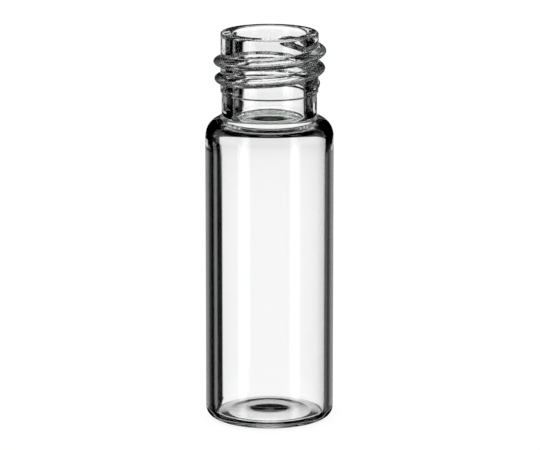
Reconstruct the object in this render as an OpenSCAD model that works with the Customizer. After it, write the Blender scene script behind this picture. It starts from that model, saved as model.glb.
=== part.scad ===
// Screw-neck sample vial, drawn from one piece of glass tube.
// The body of revolution comes from two sections, the outside and the hollow.
// The thread is a bead swept along a helix and fused to the neck.
// Millimetres, +Z up, origin at the middle of the base.

/* [Body] */
// Height from the surface it stands on to the rim
vial_h = 45; // [38:0.5:70]
// Outside diameter of the body
body_d = 14.7; // [13.8:0.1:18]
// Thickness of the body wall
body_wall = 0.9; // [0.7:0.05:1.2]

/* [Base] */
// Radius of the rounded outer heel
heel_r = 1.1; // [0.8:0.05:1.6]
// Width of the flat ring that the vial stands on
foot_w = 1.5; // [0.4:0.05:1.8]
// Radius of the foot ring's inner edge
toe_r = 0.6; // [0.3:0.05:1.2]
// How far the underside is pushed up in the middle
push_up = 0.35; // [0.15:0.01:0.6]
// Thickness of the base beside its middle, from the push-up to the floor
base_t = 0.75; // [0.7:0.01:1.6]
// Radius of the domed inner floor
floor_dome_r = 32; // [28:1:80]
// Radius of the inner corner between the floor and the wall
floor_corner_r = 0.6; // [0.4:0.02:1.4]
// Height of the soft button of glass in the middle of the floor
button_h = 0.18; // [0.1:0.01:0.24]
// Radius of the button's cap
button_r = 8.5; // [7:0.5:12]
// Radius of the fillet between the button and the floor
button_fillet_r = 18; // [10:0.5:20]

/* [Shoulder] */
// Depth of the shoulder and neck together, rim to the top of the straight body
finish_h = 12.04; // [11.6:0.02:14]
// Radius of the rounded outer edge of the shoulder
shoulder_r = 2.25; // [1.5:0.05:2.6]
// Radius of the fillet where the shoulder runs into the neck
neck_fillet_r = 0.34; // [0.2:0.02:0.8]
// Slope of the shoulder, in degrees from level
shoulder_slope = 18; // [10:1:28]
// How far the hollow's straight wall ends below the top of the straight body
hollow_drop = 0.27; // [0.1:0.01:0.8]
// Radius of the hollow's edge at the top of the body
hollow_shoulder_r = 1.6; // [1:0.05:2]
// Radius of the hollow's edge at the foot of the bore
hollow_neck_r = 1.53; // [0.8:0.01:1.8]
// Slope of the hollow's shoulder, in degrees from level
hollow_slope = 21.5; // [15:0.5:26]

/* [Neck] */
// Diameter of the plain neck under the thread
neck_d = 10.92; // [10.7:0.02:11]
// Diameter of the land that carries the thread
land_d = 11.2; // [11.16:0.02:11.5]
// Depth of the land below the rim
land_h = 6.95; // [6.6:0.05:7.6]
// Length of the taper from the land down to the plain neck
land_taper_h = 0.85; // [0.4:0.05:1.2]
// Step of the small ledge at the foot of the land
ledge = 0.08; // [0.02:0.01:0.08]
// Diameter of the bore
bore_d = 8.34; // [8:0.02:8.8]
// Radius of the rim's outer edge
lip_outer_r = 0.3; // [0.15:0.05:0.5]
// Radius of the rim's inner edge
lip_inner_r = 0.4; // [0.2:0.05:0.6]

/* [Thread] */
// Diameter over the thread
thread_d = 13.0; // [12.6:0.05:13.4]
// How much lower the bead gets over each turn
thread_fall = 0.12; // [0:0.02:0.2]
// Pitch of the thread
thread_pitch = 1.985; // [1.8:0.005:2.3]
// How much the helix stands higher on the right and lower on the left
thread_tilt = 0.1; // [0:0.02:0.2]
// Width of the thread bead at its root
thread_w = 1.3; // [1:0.05:1.6]
// Depth of the thread's start below the rim
thread_start_h = 1.8; // [1.3:0.05:2.2]
// Length of the thread, in degrees of turn
thread_turn = 842; // [540:2:860]
// Turn over which the thread swells at its start
run_in = 40; // [20:5:90]
// Turn over which the thread fades at its end
run_out = 80; // [20:5:120]

/* [Hidden] */
$fn = 120;

// The thread starts at the back of the vial
thread_start_angle = 90;
// Turn between two sections of the thread
thread_step = 6;
// Facets across the thread bead
bead_facets = 10;
// Fullness of the bead: 1 is a parabola, 0.5 an ellipse
bead_fullness = 0.75;
// Smallest share of the bead's height and width left at its two ends
bead_end = 0.02;
// How deep the root of the thread lies in the neck wall
thread_root = 0.5;
// How deep the foot of the bead's curve lies in the neck wall
bead_foot_h = 0.15;
// Extra length of an area, so that it passes the face it opens or overlaps the next area
pass = 1;

body_r = body_d / 2;
neck_r = neck_d / 2;
land_r = land_d / 2;
bore_r = bore_d / 2;
thread_r = thread_d / 2;
// Half width of the bead's buried foot, from its width where it leaves the land
bead_half_w = thread_w / 2
    / sqrt(1 - pow(bead_foot_h / (bead_foot_h + thread_r - land_r), 1 / bead_fullness));
hollow_r = body_r - body_wall;
body_top = vial_h - finish_h;
land_z = vial_h - land_h;
taper_z = land_z - land_taper_h;

// The heel takes no more than the body's radius leaves beside the foot ring
heel_x = body_r - heel_r;
toe_x = heel_x - foot_w;

// Dome under the base, tangent to the foot ring's inner edge
push_dome_r = (toe_x * toe_x + (toe_r - push_up) * (toe_r - push_up) - toe_r * toe_r) / (2 * push_up);
push_dome_z = push_up - push_dome_r;
// Height at which that dome meets the foot ring's inner edge
push_meet_z = toe_r + (push_dome_z - toe_r) * toe_r / (push_dome_r + toe_r);
push_meet_x = toe_x * push_dome_r / (push_dome_r + toe_r);

// Dome of the inner floor, tangent to the inner corner
floor_top = push_up + base_t;
floor_dome_z = floor_top - floor_dome_r;
floor_corner_x = hollow_r - floor_corner_r;
floor_corner_z = floor_dome_z
    + sqrt(pow(floor_dome_r + floor_corner_r, 2) - floor_corner_x * floor_corner_x);
floor_meet_x = floor_corner_x * floor_dome_r / (floor_dome_r + floor_corner_r);
floor_meet_z = floor_dome_z
    + (floor_corner_z - floor_dome_z) * floor_dome_r / (floor_dome_r + floor_corner_r);

// Cap of the button in the middle of the floor, and the fillet that touches it and the dome
button_z = floor_top + button_h - button_r;
cap_reach = button_r + button_fillet_r;
dome_reach = floor_dome_r + button_fillet_r;
button_fillet_z = (button_z + floor_dome_z) / 2
    + (dome_reach * dome_reach - cap_reach * cap_reach) / (2 * (button_z - floor_dome_z));
button_fillet_x = sqrt(cap_reach * cap_reach - pow(button_fillet_z - button_z, 2));
button_top_x = button_fillet_x * button_r / cap_reach;
button_top_z = button_z + (button_fillet_z - button_z) * button_r / cap_reach;
button_foot_x = button_fillet_x * floor_dome_r / dome_reach;
button_foot_z = floor_dome_z + (button_fillet_z - floor_dome_z) * floor_dome_r / dome_reach;

// Share of both edge radii of a shoulder that fits in its step
function edge_share(step, edge_r, fillet_r, slope) =
    min(1, step / ((edge_r + fillet_r) * (1 - sin(slope))));

// Rise of a shoulder from its wide part to its narrow part
function shoulder_rise(step, edge_r, fillet_r, slope) =
    let (slant = step - (edge_r + fillet_r) * (1 - sin(slope)))
    (edge_r + fillet_r) * cos(slope) + slant * tan(slope);

// Edge radii of the outside and of the hollow, once they fit
outer_step = body_r - neck_r;
outer_share = edge_share(outer_step, shoulder_r, neck_fillet_r, shoulder_slope);
outer_edge_r = shoulder_r * outer_share;
outer_fillet_r = neck_fillet_r * outer_share;

inner_step = hollow_r - bore_r;
inner_share = edge_share(inner_step, hollow_shoulder_r, hollow_neck_r, hollow_slope);
inner_edge_r = hollow_shoulder_r * inner_share;
inner_fillet_r = hollow_neck_r * inner_share;

// Top of the hollow's straight wall, and foot of the bore
hollow_top = body_top - hollow_drop;
bore_z = hollow_top + shoulder_rise(inner_step, inner_edge_r, inner_fillet_r, hollow_slope);

// Area under a shoulder: a rounded edge, a straight slope and a fillet into the neck
module shoulder_area(wide_r, narrow_r, low_z, edge_r, fillet_r, slope) {
    edge_x = wide_r - edge_r;
    fillet_x = narrow_r + fillet_r;
    top_z = low_z + shoulder_rise(wide_r - narrow_r, edge_r, fillet_r, slope);
    translate([edge_x, low_z]) circle(r = edge_r);
    difference() {
        polygon([
            [0, low_z],
            [edge_x, low_z],
            [edge_x + edge_r * sin(slope), low_z + edge_r * cos(slope)],
            [fillet_x - fillet_r * sin(slope), top_z - fillet_r * cos(slope)],
            [narrow_r, top_z],
            [0, top_z]
        ]);
        translate([fillet_x, top_z]) circle(r = fillet_r);
    }
}

// Hollow pushed up under the base
module push_up_area() {
    difference() {
        union() {
            polygon([[0, -pass], [toe_x, -pass], [toe_x, 0], [push_meet_x, push_meet_z], [0, push_meet_z]]);
            intersection() {
                translate([0, push_dome_z]) circle(r = push_dome_r);
                translate([0, push_meet_z]) square([toe_x, push_up]);
            }
        }
        translate([toe_x, toe_r]) circle(r = toe_r);
    }
}

// Half section of the outside, as if the glass were solid
module outer_section() {
    difference() {
        union() {
            square([heel_x, body_top]);
            translate([0, heel_r]) square([body_r, body_top - heel_r]);
            translate([heel_x, heel_r]) circle(r = heel_r);
        }
        push_up_area();
    }
    shoulder_area(body_r, neck_r, body_top, outer_edge_r, outer_fillet_r, shoulder_slope);
    translate([0, body_top]) square([neck_r, vial_h - lip_outer_r - body_top]);
    polygon([[0, taper_z], [neck_r, taper_z], [land_r - ledge, land_z], [0, land_z]]);
    translate([0, land_z]) square([land_r, land_h - lip_outer_r]);
    translate([0, land_z]) square([land_r - lip_outer_r, land_h]);
    translate([land_r - lip_outer_r, vial_h - lip_outer_r]) circle(r = lip_outer_r);
}

// Glass of the inner floor: the dome with its button
module floor_area() {
    translate([0, floor_dome_z]) circle(r = floor_dome_r);
    translate([0, button_z]) circle(r = button_r);
    difference() {
        polygon([
            [0, floor_meet_z],
            [button_foot_x, floor_meet_z],
            [button_foot_x, button_foot_z],
            [button_top_x, button_top_z],
            [0, button_top_z]
        ]);
        translate([button_fillet_x, button_fillet_z]) circle(r = button_fillet_r);
    }
}

// Half section of the hollow inside, open at the rim
module hollow_section() {
    lip_z = vial_h - lip_inner_r;
    difference() {
        union() {
            translate([0, floor_corner_z]) square([hollow_r, hollow_top - floor_corner_z]);
            translate([0, floor_meet_z]) square([floor_corner_x, floor_corner_z + pass - floor_meet_z]);
        }
        floor_area();
    }
    translate([floor_corner_x, floor_corner_z]) circle(r = floor_corner_r);
    shoulder_area(hollow_r, bore_r, hollow_top, inner_edge_r, inner_fillet_r, hollow_slope);
    translate([0, bore_z]) square([bore_r, vial_h + pass - bore_z]);
    difference() {
        translate([0, lip_z]) square([bore_r + lip_inner_r, lip_inner_r + pass]);
        translate([bore_r + lip_inner_r, lip_z]) circle(r = lip_inner_r);
    }
}

// Share of the full bead at a given turn from the start, smooth at both ends
function bead_swell(turn) =
    let (rise = min(1, turn / run_in), fall = min(1, (thread_turn - turn) / run_out))
    bead_end + (1 - bead_end) * pow(sin(90 * rise), 2) * pow(sin(90 * fall), 2);

// Height of the bead above its buried foot; across runs from -1 to 1
function bead_rise(across) = pow(1 - across * across, bead_fullness);

// Closed outline of the bead at a given turn, with its root inside the neck wall
function bead_outline(turn) =
    let (
        swell = bead_swell(turn),
        height = bead_foot_h + thread_r - land_r - thread_fall * turn / 360,
        half_w = bead_half_w * (0.6 + 0.4 * swell)
    )
    concat(
        [
            for (i = [0 : bead_facets])
            let (across = 2 * i / bead_facets - 1)
            [land_r - bead_foot_h + height * swell * bead_rise(across), across * half_w]
        ],
        [[land_r - thread_root, half_w], [land_r - thread_root, -half_w]]
    );

// The thread: right-handed, wound down from its start near the rim
module thread() {
    steps = ceil(thread_turn / thread_step);
    sides = bead_facets + 3;
    points = [
        for (i = [0 : steps])
        let (
            turn = thread_turn * i / steps,
            angle = thread_start_angle - turn,
            middle_z = vial_h - thread_start_h - thread_pitch * turn / 360 + thread_tilt * sin(turn)
        )
        for (p = bead_outline(turn))
        [p[0] * cos(angle), p[0] * sin(angle), middle_z + p[1]]
    ];
    side_faces = [
        for (i = [0 : steps - 1], j = [0 : sides - 1])
        let (a = i * sides + j, b = i * sides + (j + 1) % sides)
        each [[a, b + sides, b], [a, a + sides, b + sides]]
    ];
    start_face = [for (j = [0 : sides - 1]) j];
    end_face = [for (j = [sides - 1 : -1 : 0]) steps * sides + j];
    polyhedron(points = points, faces = concat(side_faces, [start_face, end_face]), convexity = 6);
}

module vial() {
    color([0.86, 0.89, 0.88, 0.45])
    difference() {
        union() {
            rotate_extrude() outer_section();
            thread();
        }
        rotate_extrude() hollow_section();
    }
}

vial();
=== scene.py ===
import math

import bpy
import numpy as np
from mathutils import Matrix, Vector


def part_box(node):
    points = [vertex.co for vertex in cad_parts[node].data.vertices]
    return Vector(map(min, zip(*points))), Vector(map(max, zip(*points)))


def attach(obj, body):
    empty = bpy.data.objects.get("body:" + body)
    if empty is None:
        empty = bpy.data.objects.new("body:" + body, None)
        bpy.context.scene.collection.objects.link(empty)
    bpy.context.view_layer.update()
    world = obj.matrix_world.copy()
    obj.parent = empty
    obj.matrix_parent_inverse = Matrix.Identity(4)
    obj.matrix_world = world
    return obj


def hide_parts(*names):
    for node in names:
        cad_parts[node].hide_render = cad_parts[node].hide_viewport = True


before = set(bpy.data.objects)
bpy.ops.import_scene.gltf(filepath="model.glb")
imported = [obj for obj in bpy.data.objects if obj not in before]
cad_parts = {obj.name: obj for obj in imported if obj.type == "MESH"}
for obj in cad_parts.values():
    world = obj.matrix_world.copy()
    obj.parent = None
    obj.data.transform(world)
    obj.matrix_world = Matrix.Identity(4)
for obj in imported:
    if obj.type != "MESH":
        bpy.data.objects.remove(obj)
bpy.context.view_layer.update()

# ---------------------------------------------------------------- the vial
# One piece of clear borosilicate tube, 45 mm high. The base is flamed shut and pushed up, the
# shoulder and neck are rolled in, and the screw thread is rolled on between wheels.
# The surface is one closed sheet of glass, outside and hollow together.
MM = 0.001
# Sizes are in millimetres. The height and the diameter are those of the solid vial in the frame.
vial_low, vial_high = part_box("vial")
vial_h = (vial_high[2] - vial_low[2]) / MM
body_r = (vial_high[0] - vial_low[0]) / 2 / MM
body_wall = 0.9
hollow_r = body_r - body_wall
# Base: the rounded heel, the flat ring under it, the pushed-up dome, the floor and its button
heel_r, foot_w, toe_r = 1.1, 1.5, 0.6
push_up, base_t = 0.35, 0.75
floor_dome_r, floor_corner_r = 32.0, 0.6
button_h, button_r = 0.18, 3.2
# Shoulder, outside and inside, below a finish that is 12 mm high; slopes are in degrees
finish_h = 12.04
shoulder_r, neck_fillet_r, shoulder_slope = 2.25, 0.34, 18
hollow_drop, hollow_shoulder_r, hollow_neck_r, hollow_slope = 0.27, 1.6, 1.53, 21.5
# Neck, and the land that carries the thread, with a taper and a small ledge at its foot
neck_r, land_r, bore_r = 5.46, 5.6, 4.17
land_h, land_taper_h = 6.95, 0.85
ledge, ledge_h = 0.16, 0.2
lip_outer_r, lip_inner_r = 0.3, 0.4


def arc(centre_x, centre_z, radius, start, end, points):
    """Points on a circle: centre + radius * (cos a, sin a), with a from start to end in degrees."""
    a = np.radians(np.linspace(start, end, points))
    return np.column_stack([centre_x + radius * np.cos(a), centre_z + radius * np.sin(a)])


def line(start, end, points):
    """Evenly spaced points, start * (1 - t) + end * t, without the end itself."""
    t = np.linspace(0, 1, points, endpoint=False)[:, None]
    return np.asarray(start) * (1 - t) + np.asarray(end) * t


def shoulder_rise(step, edge_r, fillet_r, slope):
    """Height of a rounded edge, a straight slope and a fillet that together go in by step.

    It is (edge_r + fillet_r) * cos(slope) + slant * tan(slope), where slant is the part of the step
    that the straight slope takes.
    """
    lean = math.radians(slope)
    slant = step - (edge_r + fillet_r) * (1 - math.sin(lean))
    return (edge_r + fillet_r) * math.cos(lean) + slant * math.tan(lean)


heel_x = body_r - heel_r
toe_x = heel_x - foot_w
push_dome_r = (toe_x**2 + (toe_r - push_up) ** 2 - toe_r**2) / (2 * push_up)
push_dome_z = push_up - push_dome_r
push_angle = math.degrees(math.atan2(toe_r - push_dome_z, toe_x))
body_top = vial_h - finish_h
neck_z = body_top + shoulder_rise(body_r - neck_r, shoulder_r, neck_fillet_r, shoulder_slope)
land_z = vial_h - land_h
lip_z = vial_h - lip_outer_r

# The outside, from the middle of the base up to the mouth, with its points close together where
# the thread will rise
taper_foot = (neck_r, land_z - land_taper_h)
ledge_foot = (land_r - ledge, land_z - ledge_h / 2)
ledge_head = (land_r, land_z + ledge_h / 2)
outside = np.vstack([
    arc(0, push_dome_z, push_dome_r, 90, push_angle, points=20)[:-1],
    arc(toe_x, toe_r, toe_r, push_angle + 180, 270, points=5),
    arc(heel_x, heel_r, heel_r, 270, 360, points=15),
    line((body_r, heel_r), (body_r, body_top), points=24)[1:],
    arc(body_r - shoulder_r, body_top, shoulder_r, 0, 90 - shoulder_slope, points=26),
    arc(neck_r + neck_fillet_r, neck_z, neck_fillet_r, 270 - shoulder_slope, 180, points=24),
    line((neck_r, neck_z), taper_foot, points=8)[1:],
    line(taper_foot, ledge_foot, points=10),
    line(ledge_foot, ledge_head, points=4),
    line(ledge_head, (land_r, lip_z), points=112),
    arc(land_r - lip_outer_r, lip_z, lip_outer_r, 0, 90, points=8),
])

floor_corner_x = hollow_r - floor_corner_r
floor_lean = math.asin(floor_corner_x / (floor_dome_r + floor_corner_r))
floor_dome_z = push_up + base_t - floor_dome_r
floor_corner_z = floor_dome_z + (floor_dome_r + floor_corner_r) * math.cos(floor_lean)
lean_deg = math.degrees(floor_lean)
hollow_top = body_top - hollow_drop
bore_z = hollow_top + shoulder_rise(hollow_r - bore_r, hollow_shoulder_r, hollow_neck_r, hollow_slope)

# The hollow, from the mouth down to the middle of the floor, where the button is a cosine hump
floor_dome = arc(0, floor_dome_z, floor_dome_r, 90 - lean_deg, 90, points=50)
floor_dome[:, 1] += button_h * np.cos(np.pi / 2 * np.clip(floor_dome[:, 0] / button_r, 0, 1)) ** 2
inside = np.vstack([
    arc(bore_r + lip_inner_r, vial_h - lip_inner_r, lip_inner_r, 90, 180, points=9),
    line((bore_r, vial_h - lip_inner_r), (bore_r, bore_z), points=24)[1:],
    arc(bore_r + hollow_neck_r, bore_z, hollow_neck_r, 180, 270 - hollow_slope, points=24),
    arc(hollow_r - hollow_shoulder_r, hollow_top, hollow_shoulder_r, 90 - hollow_slope, 0, points=10),
    line((hollow_r, hollow_top), (hollow_r, floor_corner_z), points=24)[1:],
    arc(floor_corner_x, floor_corner_z, floor_corner_r, 360, 270 - lean_deg, points=16)[:-1],
    floor_dome,
])
section = np.vstack([outside, inside])

# The thread, as a rise of the outside over the land. Its bead gets lower by thread_fall with each
# turn, stands askew by thread_tilt, and swells and fades over run_in and run_out. Angles are in
# degrees. Where the bead is faint, it narrows to the share called narrowest.
thread_r, thread_fall, thread_w = 6.5, 0.12, 1.3
thread_pitch, thread_tilt = 1.985, 0.1
thread_start_h, thread_turn = 1.8, 842.0
start_angle = 90
run_in, run_out = 40.0, 80.0
bead_fullness, bead_foot_h = 0.75, 0.15
narrowest = 0.6


def thread_rise(z, angle):
    """Rise of the bead over the land, the highest of all turns of the helix at that place.

    Each turn is height * swell * (1 - across^2)^fullness less the foot that is sunk in the wall, where
    across goes from -1 to 1 over the bead's width and swell is sin^2 over the run-in and the run-out.
    """
    first_height = bead_foot_h + thread_r - land_r
    half_w = thread_w / 2 / math.sqrt(1 - (bead_foot_h / first_height) ** (1 / bead_fullness))
    rise = np.zeros_like(z)
    for whole_turns in range(math.ceil(thread_turn / 360) + 1):
        turn = start_angle - angle + 360 * whole_turns
        ramp_in = np.clip(turn / run_in, 0, 1)
        ramp_out = np.clip((thread_turn - turn) / run_out, 0, 1)
        swell = np.sin(np.pi / 2 * ramp_in) ** 2 * np.sin(np.pi / 2 * ramp_out) ** 2
        height = first_height - thread_fall * turn / 360
        middle = vial_h - thread_start_h - thread_pitch * turn / 360
        middle = middle + thread_tilt * np.sin(np.radians(turn))
        across = (z - middle) / (half_w * (narrowest + (1 - narrowest) * swell))
        bead = height * swell * np.clip(1 - across**2, 0, 1) ** bead_fullness - bead_foot_h
        rise = np.maximum(rise, np.where(swell > 0, bead, 0))
    return rise


# The section turned round the axis, as one closed sheet: rings of points and a fan at each end
columns = 240
rings = len(section) - 2
ring_r = np.repeat(section[1:-1, :1], columns, axis=1)
ring_z = np.repeat(section[1:-1, 1:], columns, axis=1)
ring_angle = np.repeat(np.arange(columns)[None, :] * 360 / columns, rings, axis=0)
on_outside = (np.arange(1, rings + 1) < len(outside))[:, None]
on_finish = on_outside & (ring_z > land_z - land_taper_h) & (ring_z < lip_z)
rise = thread_rise(ring_z, ring_angle)
surface_r = np.where(on_finish & (rise > 0), np.maximum(ring_r, land_r + rise), ring_r)
surface_x = surface_r * np.cos(np.radians(ring_angle))
surface_y = surface_r * np.sin(np.radians(ring_angle))

points = np.stack([surface_x, surface_y, ring_z], axis=2).reshape(-1, 3)
points = np.vstack([[[0, 0, section[0, 1]]], points, [[0, 0, section[-1, 1]]]]) * MM
index = 1 + np.arange(rings * columns).reshape(rings, columns)
beside = np.roll(index, -1, axis=1)
quads = np.stack([index[:-1], beside[:-1], beside[1:], index[1:]], axis=2).reshape(-1, 4)
first_fan = np.stack([np.zeros(columns, int), beside[0], index[0]], axis=1)
last_fan = np.stack([index[-1], beside[-1], np.full(columns, len(points) - 1)], axis=1)

vial_mesh = bpy.data.meshes.new("vial_glass")
vial_mesh.from_pydata(points.tolist(), [], quads.tolist() + first_fan.tolist() + last_fan.tolist())
vial_mesh.shade_smooth()
vial_mesh.update()
vial_glass = bpy.data.objects.new("vial_glass", vial_mesh)
bpy.context.scene.collection.objects.link(vial_glass)

# The glass is clear with a breath of green. Where the wheels rolled it, round the thread, the
# surface keeps faint streaks and an orange-peel texture. The tube is fire-smooth.
glass = bpy.data.materials.new("clear_borosilicate_glass")
glass.use_nodes = True
nodes, links = glass.node_tree.nodes, glass.node_tree.links
shader = nodes["Principled BSDF"]
shader.inputs["Base Color"].default_value = (1, 1, 1, 1)
shader.inputs["IOR"].default_value = 1.49
shader.inputs["Transmission Weight"].default_value = 1.0
tint = nodes.new("ShaderNodeVolumeAbsorption")
tint.inputs["Color"].default_value = (0.80, 1.0, 0.90, 1)
tint.inputs["Density"].default_value = 8.0
links.new(tint.outputs[0], nodes["Material Output"].inputs["Volume"])


def maths(operation, a, b=0.0, c=0.0):
    """One Math node in the current tree; an input is a number or another node's output."""
    node = nodes.new("ShaderNodeMath")
    node.operation = operation
    for socket, value in zip(node.inputs, (a, b, c)):
        if isinstance(value, (int, float)):
            socket.default_value = value
        else:
            links.new(value, socket)
    return node.outputs[0]


def ramp(value, start, end):
    """0 before start and 1 after end, with a smoothstep between them."""
    node = nodes.new("ShaderNodeMapRange")
    node.interpolation_type = "SMOOTHSTEP"
    node.inputs["From Min"].default_value = start
    node.inputs["From Max"].default_value = end
    links.new(value, node.inputs["Value"])
    return node.outputs["Result"]


place = nodes.new("ShaderNodeTexCoord")
place_xyz = nodes.new("ShaderNodeSeparateXYZ")
links.new(place.outputs["Object"], place_xyz.inputs[0])
place_x, place_y, height = (place_xyz.outputs[axis] for axis in "XYZ")
from_axis = maths("SQRT", maths("MULTIPLY_ADD", place_x, place_x, maths("MULTIPLY", place_y, place_y)))

# rolled is 1 on the outside of the finish from 7 to 1.2 mm below the mouth, and 0 elsewhere.
# on_bead goes from 0 on the land to 1 up on the bead.
rolled_low, rolled_high, rolled_fade = (vial_h - 7.0) * MM, (vial_h - 1.2) * MM, 0.8 * MM
rolled_up = ramp(height, rolled_low, rolled_low + rolled_fade)
rolled_down = maths("SUBTRACT", 1.0, ramp(height, rolled_high - rolled_fade, rolled_high))
rolled_outside = ramp(from_axis, (neck_r - 0.3) * MM, (neck_r - 0.1) * MM)
rolled = maths("MULTIPLY", maths("MULTIPLY", rolled_up, rolled_down), rolled_outside)
on_bead = ramp(from_axis, (land_r + 0.02) * MM, (land_r + 0.3) * MM)

# Streaks that run round the neck, and the finer orange peel
stretch = nodes.new("ShaderNodeMapping")
stretch.inputs["Scale"].default_value = (1, 1, 3.5)
links.new(place.outputs["Object"], stretch.inputs["Vector"])
streaks = nodes.new("ShaderNodeTexNoise")
streaks.inputs["Scale"].default_value = 900.0
streaks.inputs["Detail"].default_value = 4.0
links.new(stretch.outputs[0], streaks.inputs["Vector"])
peel = nodes.new("ShaderNodeTexNoise")
peel.inputs["Scale"].default_value = 2600.0
peel.inputs["Detail"].default_value = 2.0
links.new(place.outputs["Object"], peel.inputs["Vector"])
peel_share = 0.35
texture = maths("MULTIPLY_ADD", peel.outputs["Fac"], peel_share, streaks.outputs["Fac"])

land_roughness, bead_roughness = 0.02, 0.07
roughness = maths("MULTIPLY", rolled, maths("MULTIPLY_ADD", on_bead, bead_roughness, land_roughness))
links.new(roughness, shader.inputs["Roughness"])
land_texture, bead_texture = 0.15, 0.9
strength = maths("MULTIPLY", rolled, maths("MULTIPLY_ADD", on_bead, bead_texture, land_texture))
bump = nodes.new("ShaderNodeBump")
bump.inputs["Distance"].default_value = 0.03 * MM
links.new(strength, bump.inputs["Strength"])
links.new(texture, bump.inputs["Height"])
links.new(bump.outputs[0], shader.inputs["Normal"])
vial_mesh.materials.append(glass)

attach(vial_glass, "root")
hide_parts("vial")

# ---------------------------------------------------------------- the floor
# A plain sheet of white paper, which shows its white and the vial's soft shadow to the camera.
# Rays from the glass go through it to the light beyond, apart from a faint painted pool of light under
# the base, which the paper gives off only to the glass.
bpy.ops.mesh.primitive_plane_add(size=6, location=(0, 0, 0))
floor = bpy.context.object
floor.name = "studio_floor"
paper = bpy.data.materials.new("white_paper")
paper.use_nodes = True
nodes, links = paper.node_tree.nodes, paper.node_tree.links
nodes.clear()


def added(first, second):
    """The sum of two shaders."""
    both = nodes.new("ShaderNodeAddShader")
    links.new(first.outputs[0], both.inputs[0])
    links.new(second.outputs[0], both.inputs[1])
    return both


def show(output_kind, for_others, for_glass):
    """Output of the current tree: one shader for rays that come from glass, one for all the rest."""
    ray = nodes.new("ShaderNodeLightPath")
    from_glass = maths("MAXIMUM", ray.outputs["Is Glossy Ray"], ray.outputs["Is Transmission Ray"])
    mix = nodes.new("ShaderNodeMixShader")
    links.new(from_glass, mix.inputs[0])
    links.new(for_others.outputs[0], mix.inputs[1])
    links.new(for_glass.outputs[0], mix.inputs[2])
    links.new(mix.outputs[0], nodes.new(output_kind).inputs["Surface"])


white = (1, 1, 1, 1)
matt = nodes.new("ShaderNodeBsdfDiffuse")
matt.inputs["Color"].default_value = (0.2, 0.2, 0.2, 1)
own_white = nodes.new("ShaderNodeEmission")
own_white.inputs["Color"].default_value = white
own_white.inputs["Strength"].default_value = 0.85

# The painted glow under the base: a pool of light painted on the paper as a soft-edged round patch a
# little behind the axis, seen only through the glass
glow_r, glow_fade, glow_back, glow_level = 5.1 * MM, 0.8 * MM, 1.8 * MM, 0.05
floor_place = nodes.new("ShaderNodeTexCoord")
floor_xyz = nodes.new("ShaderNodeSeparateXYZ")
links.new(floor_place.outputs["Object"], floor_xyz.inputs[0])
glow_x = floor_xyz.outputs["X"]
glow_y = maths("SUBTRACT", floor_xyz.outputs["Y"], glow_back)
from_glow = maths("SQRT", maths("MULTIPLY_ADD", glow_x, glow_x, maths("MULTIPLY", glow_y, glow_y)))
in_glow = maths("SUBTRACT", 1.0, ramp(from_glow, glow_r - glow_fade / 2, glow_r + glow_fade / 2))
# The painted pool of light itself: an emission that only rays from the glass see
glow = nodes.new("ShaderNodeEmission")
links.new(maths("MULTIPLY", in_glow, glow_level), glow.inputs["Strength"])
clear = nodes.new("ShaderNodeBsdfTransparent")
show("ShaderNodeOutputMaterial", added(matt, own_white), added(clear, glow))
floor.data.materials.append(paper)

# ---------------------------------------------------------------- the light
# Plain white all round for the camera and the floor. The glass sees soft-edged cards of white
# light in the dark, which give it its bright fields and the dark bands along its edges.
world = bpy.data.worlds.new("studio")
bpy.context.scene.world = world
world.use_nodes = True
nodes, links = world.node_tree.nodes, world.node_tree.links
nodes.clear()

# Degrees round from the back (+Y) towards the right (+X), and degrees up from the horizon
direction = nodes.new("ShaderNodeTexCoord")
direction_xyz = nodes.new("ShaderNodeSeparateXYZ")
links.new(direction.outputs["Generated"], direction_xyz.inputs[0])
azimuth = maths("DEGREES", maths("ARCTAN2", direction_xyz.outputs["X"], direction_xyz.outputs["Y"]))
elevation = maths("DEGREES", maths("ARCSINE", direction_xyz.outputs["Z"]))


def band(value, low, high, soft):
    """1 between low and high and 0 outside, with a smoothstep as wide as soft across each edge."""
    above = ramp(value, low - soft / 2, low + soft / 2)
    below = maths("SUBTRACT", 1.0, ramp(value, high - soft / 2, high + soft / 2))
    return maths("MULTIPLY", above, below)


def cards(rows):
    """Sum over the cards of level * band(azimuth) * band(elevation).

    A row is one card: lowest and highest azimuth and the softness of its upright edges, lowest and
    highest elevation and the softness of its level edges, and its level.
    """
    total = 0.0
    for az_low, az_high, az_soft, el_low, el_high, el_soft, level in rows:
        across = band(azimuth, az_low, az_high, az_soft)
        up = band(elevation, el_low, el_high, el_soft)
        total = maths("MULTIPLY_ADD", maths("MULTIPLY", across, up), level, total)
    return total


# Cards for rays that only pass through the glass. The first four stand behind the vial as seen
# from the front, and the others light the views from the sides, the back and above.
passed = cards((
    (-12.2, 28, 2, -11.2, -1.5, 3, 0.92),
    (-11, 27.3, 1.5, -40, -11.2, 3, 1.08),
    (-37, -29, 3, -11.2, 0, 1, 0.12),
    (-28.5, -18.5, 5, -33, -11.2, 1, 0.27),
    (-112, -42, 6, -45, 30, 16, 1.0),
    (113, 157, 6, -45, 30, 16, 1.0),
    (-66, -24, 6, -60, -17, 3, 1.0),
    (-182, 182, 1, -92, -50, 8, 0.85),
    (165, 182, 4, -45, 30, 8, 0.95),
    (46, 109, 6, -45, 30, 16, 1.0),
    (-150, -116, 6, -45, 30, 16, 1.0),
    (34, 66, 5, -60, -16, 3, 1.0),
    (-182, -150, 4, -45, 30, 8, 0.95),
))
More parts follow.
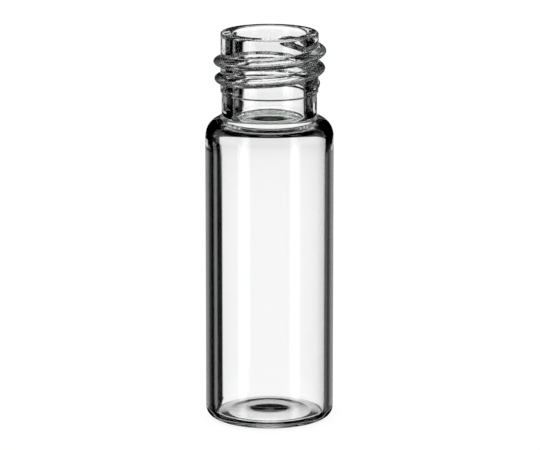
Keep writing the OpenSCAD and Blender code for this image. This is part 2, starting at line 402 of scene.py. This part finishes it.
# Cards for rays that the glass reflects on their way, for its highlights and the grey bands
# along its edges
reflected = cards((
    (-19, 10, 10, -10.3, -8.3, 0.6, 1.1),
    (5, 18, 5, -11.2, -10.3, 0.6, 1.1),
    (-22.5, 22, 18, -17.5, -11.2, 1, 0.36),
    (39, 52, 6, -17.5, -11.2, 1, 0.12),
    (-8, 4, 8, -58, -42, 4, 0.6),
    (70, 140, 20, 2, 30, 8, 0.8),
    (-140, -60, 20, 2, 30, 8, 0.8),
    (10, 25, 8, 30, 90, 8, 0.5),
    (-35, 35, 10, 32, 50, 4, 1.3),
    (150, 181, 8, -75, -38, 6, 1.5),
    (-181, -150, 8, -75, -38, 6, 1.5),
    (-136, -121, 4, -20, 0, 8, 1.9),
    (123, 138, 4, -20, 0, 8, 1.9),
))
path = nodes.new("ShaderNodeLightPath")
was_reflected = maths("GREATER_THAN", path.outputs["Glossy Depth"], 0.5)
change = maths("SUBTRACT", reflected, passed)
card_level = maths("MULTIPLY_ADD", was_reflected, change, passed)
card_light = nodes.new("ShaderNodeBackground")
card_light.inputs["Color"].default_value = white
links.new(card_level, card_light.inputs["Strength"])
plain_light = nodes.new("ShaderNodeBackground")
plain_light.inputs["Color"].default_value = white
plain_light.inputs["Strength"].default_value = 1.0
show("ShaderNodeOutputWorld", plain_light, card_light)

# ---------------------------------------------------------------- the camera
# It stands in front and looks down on the middle of the vial. Its lens is set by how many pixels
# of the picture a millimetre takes up there.
camera_tilt, camera_distance = math.radians(12.7), 0.43
picture_w, picture_h = 540, 450
px_per_mm = 8.70
vial_middle_px = (269.5, 224.7)
middle = Vector((0, 0, vial_h * MM / 2))
back = Vector((0, -math.cos(camera_tilt), math.sin(camera_tilt)))
cam = bpy.data.cameras.new("camera")
cam.sensor_width = 36
cam.lens = camera_distance / (picture_w / px_per_mm * MM) * cam.sensor_width
cam.shift_x = (picture_w / 2 - vial_middle_px[0]) / picture_w
cam.shift_y = (vial_middle_px[1] - picture_h / 2) / picture_w
cam.clip_start = 0.01
cam.clip_end = 20
camera = bpy.data.objects.new("camera", cam)
camera.location = middle + back * camera_distance
camera.rotation_mode = "QUATERNION"
camera.rotation_quaternion = (-back).to_track_quat("-Z", "Y")
bpy.context.scene.collection.objects.link(camera)
bpy.context.scene.camera = camera

bpy.context.scene.view_settings.view_transform = "Standard"

# Light may cross many walls of glass at the thread and in the base before it comes out
bounces = 32
bpy.context.scene.cycles.max_bounces = bounces
bpy.context.scene.cycles.transmission_bounces = bounces
bpy.context.scene.cycles.glossy_bounces = bounces
bpy.context.scene.cycles.transparent_max_bounces = bounces
